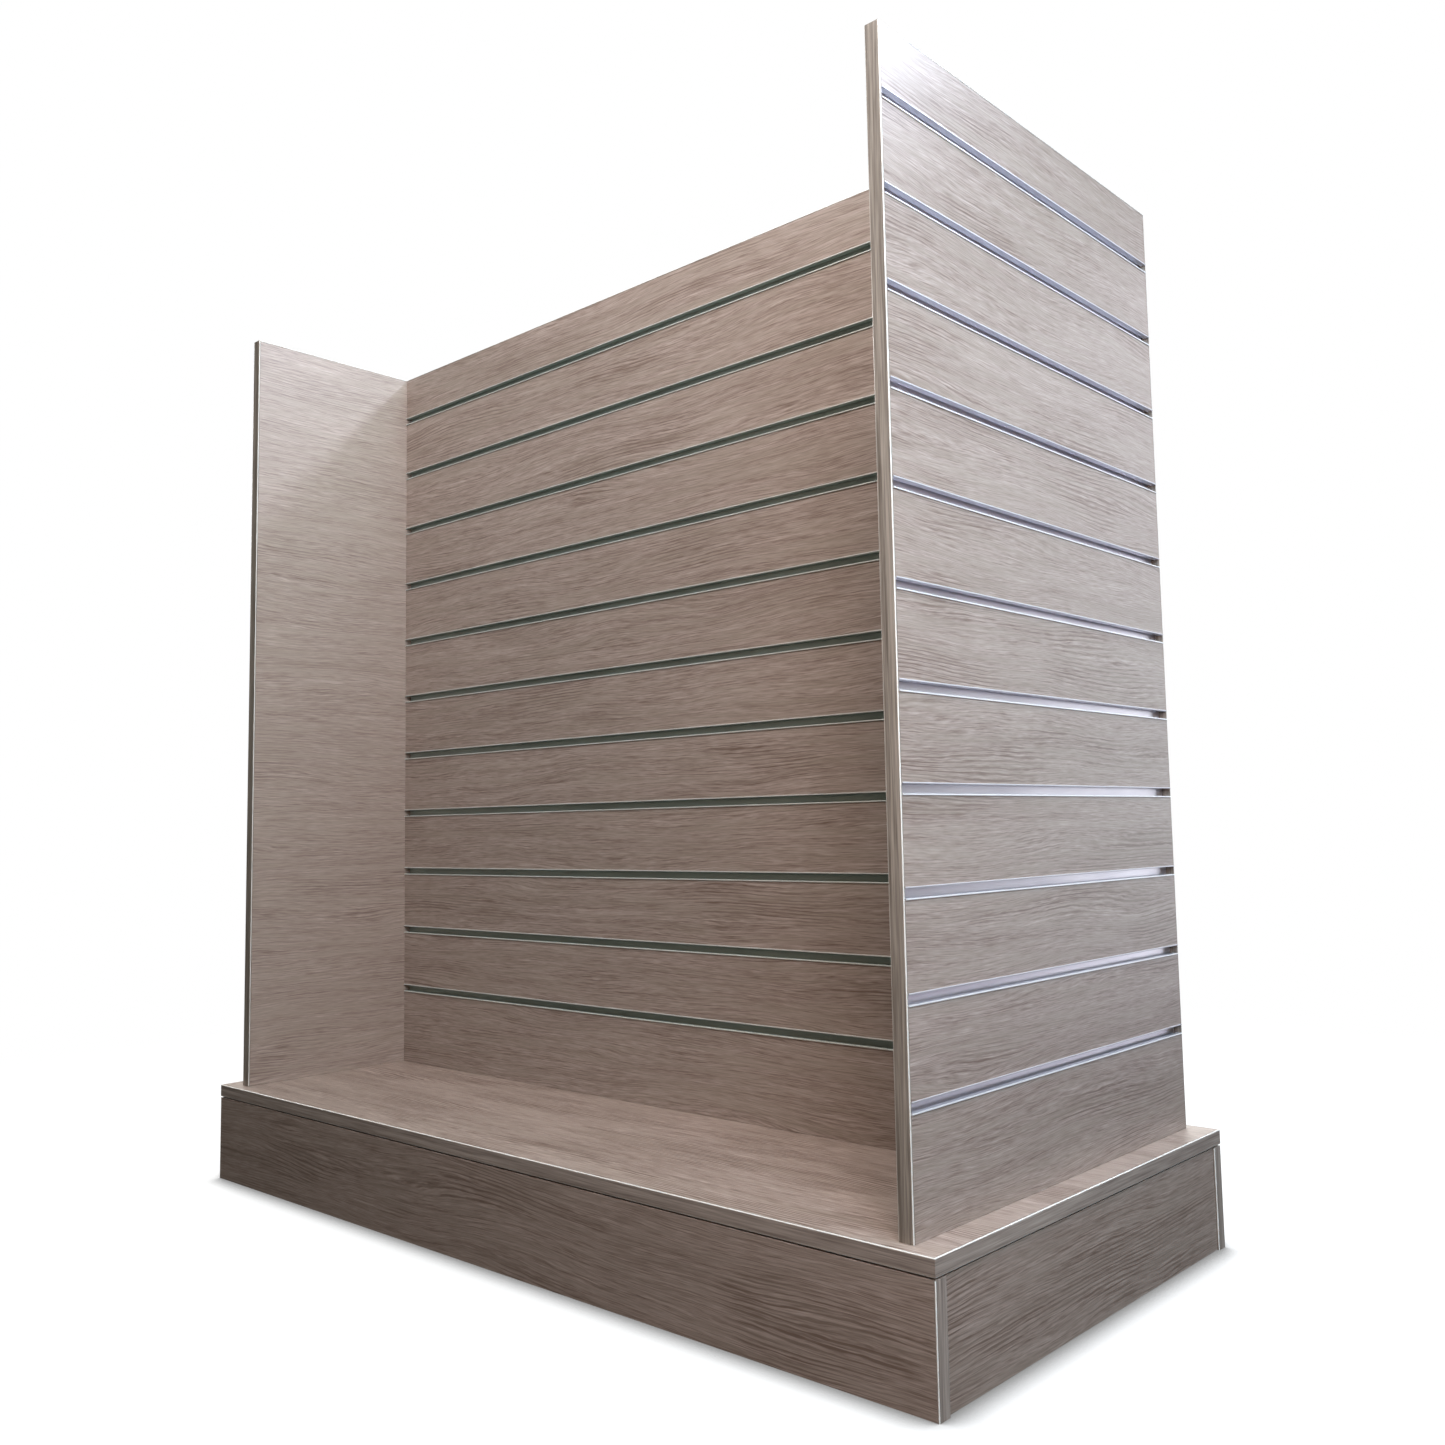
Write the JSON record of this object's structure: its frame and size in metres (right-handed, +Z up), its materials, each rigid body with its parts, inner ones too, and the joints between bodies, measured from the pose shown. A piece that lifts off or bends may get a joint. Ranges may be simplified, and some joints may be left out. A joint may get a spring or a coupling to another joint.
{
  "type": "slatwall gondola",
  "caption": "Free-standing double-sided shop display: two slatwall end panels and a slatwall centre panel on a boxed plinth base, in wood-look melamine with aluminium groove inserts.",
  "frame": {"origin": "on the floor at the middle of the base", "axes": "+X along the width, +Y from the front to the back, +Z up; the fixture's front faces -Y"},
  "size_m": [1.342, 0.636, 1.343],
  "materials": {
    "melamine_board": "matt wood-grain melamine on chipboard",
    "edge_band": "matt wood-grain plastic edging",
    "insert_aluminium": "natural anodised, satin"
  },
  "bodies": {
    "root": {"deck_board": "melamine_board", "plinth_front": "melamine_board", "plinth_back": "melamine_board", "plinth_left": "melamine_board", "plinth_right": "melamine_board", "plinth_rib_left": "melamine_board", "plinth_rib_right": "melamine_board", "end_panel_left": "melamine_board", "end_panel_right": "melamine_board", "centre_panel_front": "melamine_board", "centre_panel_back": "melamine_board", "deck_edging": "edge_band", "end_panel_left_edging": "edge_band", "end_panel_right_edging": "edge_band", "centre_panel_edging": "edge_band", "insert_left_01": "insert_aluminium", "insert_left_02": "insert_aluminium", "insert_left_03": "insert_aluminium", "insert_left_04": "insert_aluminium", "insert_left_05": "insert_aluminium", "insert_left_06": "insert_aluminium", "insert_left_07": "insert_aluminium", "insert_left_08": "insert_aluminium", "insert_left_09": "insert_aluminium", "insert_left_10": "insert_aluminium", "insert_left_11": "insert_aluminium", "insert_right_01": "insert_aluminium", "insert_right_02": "insert_aluminium", "insert_right_03": "insert_aluminium", "insert_right_04": "insert_aluminium", "insert_right_05": "insert_aluminium", "insert_right_06": "insert_aluminium", "insert_right_07": "insert_aluminium", "insert_right_08": "insert_aluminium", "insert_right_09": "insert_aluminium", "insert_right_10": "insert_aluminium", "insert_right_11": "insert_aluminium", "insert_front_01": "insert_aluminium", "insert_front_02": "insert_aluminium", "insert_front_03": "insert_aluminium", "insert_front_04": "insert_aluminium", "insert_front_05": "insert_aluminium", "insert_front_06": "insert_aluminium", "insert_front_07": "insert_aluminium", "insert_front_08": "insert_aluminium", "insert_front_09": "insert_aluminium", "insert_front_10": "insert_aluminium", "insert_front_11": "insert_aluminium", "insert_back_01": "insert_aluminium", "insert_back_02": "insert_aluminium", "insert_back_03": "insert_aluminium", "insert_back_04": "insert_aluminium", "insert_back_05": "insert_aluminium", "insert_back_06": "insert_aluminium", "insert_back_07": "insert_aluminium", "insert_back_08": "insert_aluminium", "insert_back_09": "insert_aluminium", "insert_back_10": "insert_aluminium", "insert_back_11": "insert_aluminium"}
  },
  "joints": []
}
